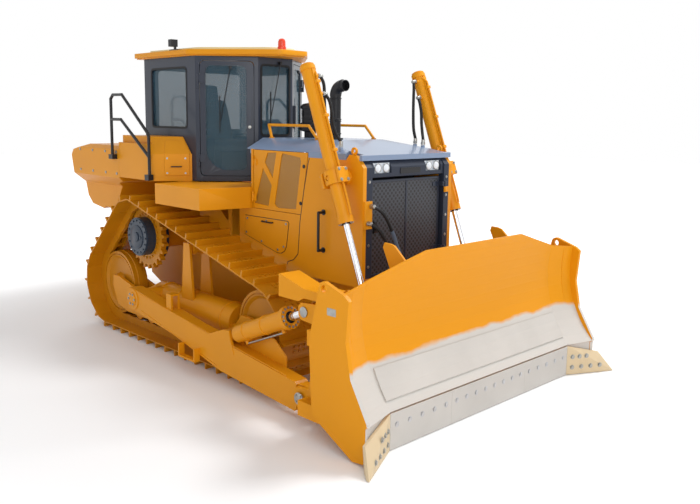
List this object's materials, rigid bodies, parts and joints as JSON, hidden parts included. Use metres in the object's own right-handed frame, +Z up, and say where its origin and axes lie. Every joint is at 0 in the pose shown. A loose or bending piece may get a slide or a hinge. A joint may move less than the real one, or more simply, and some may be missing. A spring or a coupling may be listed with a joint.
{
  "type": "crawler bulldozer",
  "caption": "Crawler bulldozer with raised drive sprockets, a six-sided cab, straight push arms, hydraulic lift and tilt cylinders and a curved blade with angled wings.",
  "frame": {"origin": "on the ground under the middle of the machine", "axes": "+X forward, towards the blade; +Y to the machine's left; +Z up"},
  "size_m": [6.661, 4.011, 3.7366],
  "materials": {
    "beacon": "gloss",
    "black_paint": "satin",
    "chrome": "polished",
    "core": "matte",
    "dark_paint": "satin",
    "drive_paint": "satin",
    "exhaust": "matte",
    "glass": "clear",
    "hood_paint": "satin",
    "hose_rubber": "satin",
    "lamp": "clear",
    "paint": "gloss",
    "seat_fabric": "matte",
    "steel": "machined",
    "wear_steel": "worn"
  },
  "bodies": {
    "chassis": {"main_frame": "paint", "radiator_guard": "paint", "headlamps": "lamp", "hood": "hood_paint", "engine": "drive_paint", "radiator": "core", "lower_panels": "paint", "exhaust_stack": "exhaust", "air_cleaner": "black_paint", "grab_rails": "paint", "guard_handles": "black_paint", "cab_frame": "dark_paint", "cab_roof": "dark_paint", "cab_glass": "glass", "seat": "seat_fabric", "console": "dark_paint", "beacon": "beacon", "work_lamps": "black_paint", "platforms": "paint", "side_boxes": "paint", "fuel_tank": "paint", "handrails": "black_paint", "track_frames": "paint", "track_right": "paint", "track_left": "paint", "sprockets": "paint", "final_drives": "drive_paint", "idlers": "paint", "track_rollers": "paint", "lift_hoses_right": "hose_rubber", "lift_hoses_left": "hose_rubber", "blade_hoses": "hose_rubber"},
    "trunnions": {"arm_trunnions": "steel"},
    "arm_right": {"push_arm_right": "paint"},
    "arm_left": {"push_arm_left": "paint"},
    "blade": {"blade": "paint", "cutting_edge": "wear_steel"},
    "brace": {"brace_left": "paint"},
    "tilt_barrel": {"tilt_barrel": "paint"},
    "tilt_rod": {"tilt_rod": "chrome"},
    "yoke_right": {"lift_yoke_right": "paint"},
    "yoke_left": {"lift_yoke_left": "paint"},
    "lift_barrel_right": {"lift_barrel_right": "paint"},
    "lift_barrel_left": {"lift_barrel_left": "paint"},
    "lift_piston_right": {"lift_piston_right": "steel"},
    "lift_piston_left": {"lift_piston_left": "steel"},
    "lift_rod_right": {"lift_rod_right": "chrome"},
    "lift_rod_left": {"lift_rod_left": "chrome"},
    "door_right": {"cab_door_right": "dark_paint", "door_glass_right": "glass"},
    "door_left": {"cab_door_left": "dark_paint", "door_glass_left": "glass"},
    "engine_door_right": {"engine_door_right": "paint"},
    "engine_door_left": {"engine_door_left": "paint"},
    "grille": {"grille_door": "dark_paint"},
    "lid_right": {"side_lid_right": "paint"},
    "lid_left": {"side_lid_left": "paint"}
  },
  "joints": [
    {"name": "blade_lift", "type": "hinge", "parent": "chassis", "child": "trunnions", "pos_m": [-1.04, 0, 0.62], "axis": [0, -1, 0], "range_deg": [-7, 12.5], "deforming": ["blade_hoses", "lift_hoses_right", "lift_hoses_left"]},
    {"name": "blade_tilt", "type": "hinge", "parent": "trunnions", "child": "blade", "pos_m": [2.09, 0, 0.25], "axis": [0.8885, -0.4462, -0.107], "range_deg": [-6.5, 6.5], "deforming": ["blade_hoses", "lift_hoses_right", "lift_hoses_left"]},
    {"name": "push_arm_right_swing", "type": "hinge", "parent": "trunnions", "child": "arm_right", "pos_m": [-1.04, 0, 0.62], "axis": [0, -1, 0], "range_deg": [-2.82, 2.82]},
    {"name": "push_arm_left_swing", "type": "hinge", "parent": "trunnions", "child": "arm_left", "pos_m": [-1.04, 0, 0.62], "axis": [0, -1, 0], "range_deg": [-2.82, 2.82]},
    {"name": "tilt_barrel_swing", "type": "hinge", "parent": "arm_right", "child": "tilt_barrel", "pos_m": [0.88, -1.525, 0.56], "axis": [0.355, -0.3756, -0.8561], "range_deg": [-3.85, 3.85]},
    {"name": "tilt_rod_slide", "type": "slide", "parent": "tilt_barrel", "child": "tilt_rod", "axis": [0.9237, 0, 0.383], "range_m": [-0.0756, 0.0756]},
    {"name": "brace_swing", "type": "hinge", "parent": "arm_left", "child": "brace", "pos_m": [0.88, 1.525, 0.56], "axis": [0.383, -0.0078, -0.9237], "range_deg": [-3.57, 3.57]},
    {"name": "lift_yoke_right_swing", "type": "hinge", "parent": "chassis", "child": "yoke_right", "pos_m": [1.7, -0.86, 2.23], "axis": [0, -1, 0], "range_deg": [-4.55, 8.12]},
    {"name": "lift_barrel_right_rock", "type": "hinge", "parent": "yoke_right", "child": "lift_barrel_right", "pos_m": [1.7, -0.86, 2.23], "axis": [-0.6529, 0.7146, -0.2511], "range_deg": [-4.09, 4.09]},
    {"name": "lift_piston_right_slide", "type": "slide", "parent": "lift_barrel_right", "child": "lift_piston_right", "axis": [0.359, 0, -0.9333], "range_m": [-0.6859, 0.3843]},
    {"name": "lift_rod_right_slide", "type": "slide", "parent": "lift_piston_right", "child": "lift_rod_right", "axis": [0.359, 0, -0.9333], "range_m": [-0.0601, 0.0601]},
    {"name": "lift_yoke_left_swing", "type": "hinge", "parent": "chassis", "child": "yoke_left", "pos_m": [1.7, 0.86, 2.23], "axis": [0, -1, 0], "range_deg": [-4.61, 8.22]},
    {"name": "lift_barrel_left_rock", "type": "hinge", "parent": "yoke_left", "child": "lift_barrel_left", "pos_m": [1.7, 0.86, 2.23], "axis": [-0.9238, -0.1428, -0.3553], "range_deg": [-2.72, 2.72]},
    {"name": "lift_piston_left_slide", "type": "slide", "parent": "lift_barrel_left", "child": "lift_piston_left", "axis": [0.359, 0, -0.9333], "range_m": [-0.6873, 0.3851]},
    {"name": "lift_rod_left_slide", "type": "slide", "parent": "lift_piston_left", "child": "lift_rod_left", "axis": [0.359, 0, -0.9333], "range_m": [-0.0941, 0.0941]},
    {"name": "cab_door_right_hinge", "type": "hinge", "parent": "chassis", "child": "door_right", "pos_m": [-0.7216, -0.835, 2.6], "axis": [0, 0, -1], "range_deg": [0, 95]},
    {"name": "cab_door_left_hinge", "type": "hinge", "parent": "chassis", "child": "door_left", "pos_m": [-0.7216, 0.835, 2.6], "axis": [0, 0, 1], "range_deg": [0, 95]},
    {"name": "engine_door_right_hinge", "type": "hinge", "parent": "chassis", "child": "engine_door_right", "pos_m": [0.185, -0.716, 2], "axis": [0, 0, -1], "range_deg": [0, 90]},
    {"name": "engine_door_left_hinge", "type": "hinge", "parent": "chassis", "child": "engine_door_left", "pos_m": [0.185, 0.716, 2], "axis": [0, 0, 1], "range_deg": [0, 90]},
    {"name": "grille_hinge", "type": "hinge", "parent": "chassis", "child": "grille", "pos_m": [1.956, 0.572, 1.7], "axis": [0, 0, -1], "range_deg": [-25, 0]},
    {"name": "side_lid_right_hinge", "type": "hinge", "parent": "chassis", "child": "lid_right", "pos_m": [-1.2449, -1.1666, 2.511], "axis": [-0.6117, -0.7911, 0], "range_deg": [0, 80]},
    {"name": "side_lid_left_hinge", "type": "hinge", "parent": "chassis", "child": "lid_left", "pos_m": [-1.2449, 1.1666, 2.511], "axis": [0.6117, -0.7911, 0], "range_deg": [0, 80]}
  ],
  "couplings": [
    {"joint": "push_arm_right_swing", "follows": "blade_tilt", "ratio": -0.43178},
    {"joint": "push_arm_left_swing", "follows": "blade_tilt", "ratio": 0.43178},
    {"joint": "tilt_barrel_swing", "follows": "blade_tilt", "ratio": 0.5905},
    {"joint": "tilt_rod_slide", "follows": "blade_tilt", "m_per_rad": -0.66228},
    {"joint": "brace_swing", "follows": "blade_tilt", "ratio": 0.54802},
    {"joint": "lift_yoke_right_swing", "follows": "blade_lift", "ratio": 0.64912},
    {"joint": "lift_barrel_right_rock", "follows": "blade_tilt", "ratio": 0.62705},
    {"joint": "lift_piston_right_slide", "follows": "blade_lift", "m_per_rad": -3.1417},
    {"joint": "lift_rod_right_slide", "follows": "blade_tilt", "m_per_rad": 0.52544},
    {"joint": "lift_yoke_left_swing", "follows": "blade_lift", "ratio": 0.65681},
    {"joint": "lift_barrel_left_rock", "follows": "blade_tilt", "ratio": 0.4165},
    {"joint": "lift_piston_left_slide", "follows": "blade_lift", "m_per_rad": -3.148},
    {"joint": "lift_rod_left_slide", "follows": "blade_tilt", "m_per_rad": -0.8254}
  ]
}
